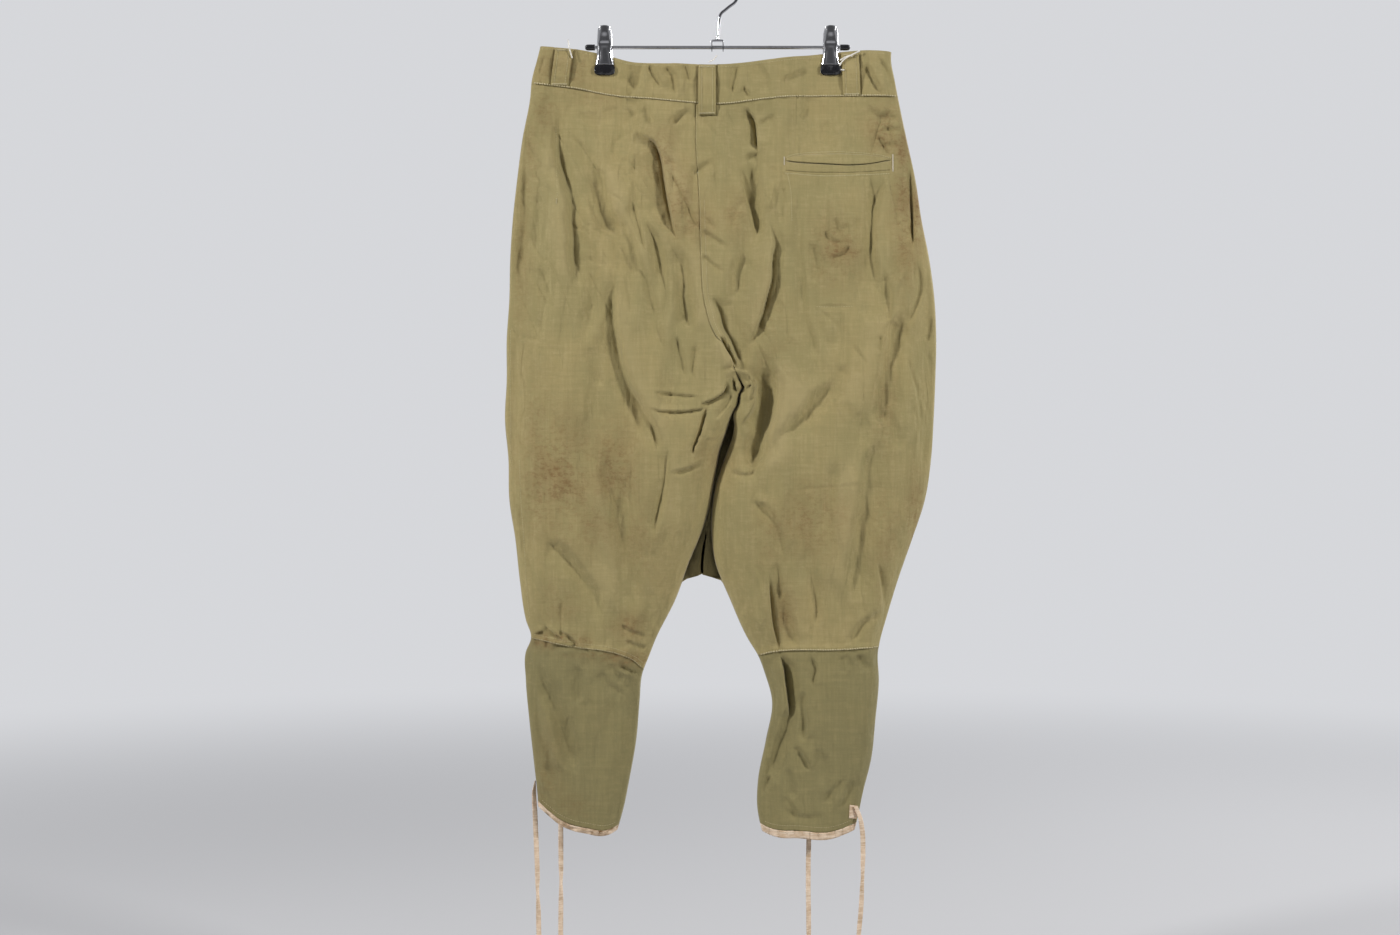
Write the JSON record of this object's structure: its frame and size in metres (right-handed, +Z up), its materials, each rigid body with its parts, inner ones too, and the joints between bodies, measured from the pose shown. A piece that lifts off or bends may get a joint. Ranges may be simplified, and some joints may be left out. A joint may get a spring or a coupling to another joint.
{
  "type": "tropical trousers on a clip hanger",
  "caption": "Knee breeches in olive cotton with balloon thighs, narrow lower legs and long tie tapes at the hems, held flat by the waistband in a wire clip hanger with a round hook.",
  "frame": {"origin": "the inner top of the hanger's hook, where a rail or a peg carries the hanger and the trousers", "axes": "+Z up along the garment, +X towards the wearer's right, and the back of the garment faces -Y"},
  "size_m": [0.496, 0.0591, 1.2369],
  "materials": {
    "olive_cotton": "khaki-olive cotton drill, worn, with brown stains and soft creases",
    "dark_olive_cotton": "the same cotton, greener and darker on the lower legs",
    "beige_tape": "beige-pink cotton tape, wrinkled",
    "button_horn": "dark brown, satin",
    "chrome": "bright plated steel wire and sheet",
    "black_rubber": "black, satin"
  },
  "bodies": {
    "root": {"back_left": "olive_cotton", "back_right": "olive_cotton", "front_left": "olive_cotton", "front_right": "olive_cotton", "waistband_back": "olive_cotton", "waistband_front_left": "olive_cotton", "waistband_front_right": "olive_cotton", "belt_loop_back_left": "olive_cotton", "belt_loop_back_centre": "olive_cotton", "belt_loop_back_right": "olive_cotton", "belt_loop_front_left": "olive_cotton", "belt_loop_front_right": "olive_cotton", "pocket_lip": "olive_cotton", "pocket_welt": "olive_cotton", "fly_placket": "olive_cotton", "lower_back_left": "dark_olive_cotton", "lower_back_right": "dark_olive_cotton", "lower_front_left": "dark_olive_cotton", "lower_front_right": "dark_olive_cotton", "hem_tape_back_left": "beige_tape", "hem_tape_back_right": "beige_tape", "hem_tape_front_left": "beige_tape", "hem_tape_front_right": "beige_tape", "tie_tab": "beige_tape", "tie_left_outer": "beige_tape", "tie_left_inner": "beige_tape", "tie_right_outer": "beige_tape", "tie_right_inner": "beige_tape", "waist_button": "button_horn", "hook": "chrome", "hook_bracket": "chrome", "hook_nut": "chrome", "hanger_rod": "chrome", "clip_left_back": "chrome", "clip_left_front": "chrome", "clip_right_back": "chrome", "clip_right_front": "chrome", "clip_left_spring": "chrome", "clip_right_spring": "chrome", "rod_cap_left": "black_rubber", "rod_cap_right": "black_rubber", "clip_left_back_tip": "black_rubber", "clip_left_front_tip": "black_rubber", "clip_right_back_tip": "black_rubber", "clip_right_front_tip": "black_rubber"}
  },
  "joints": []
}
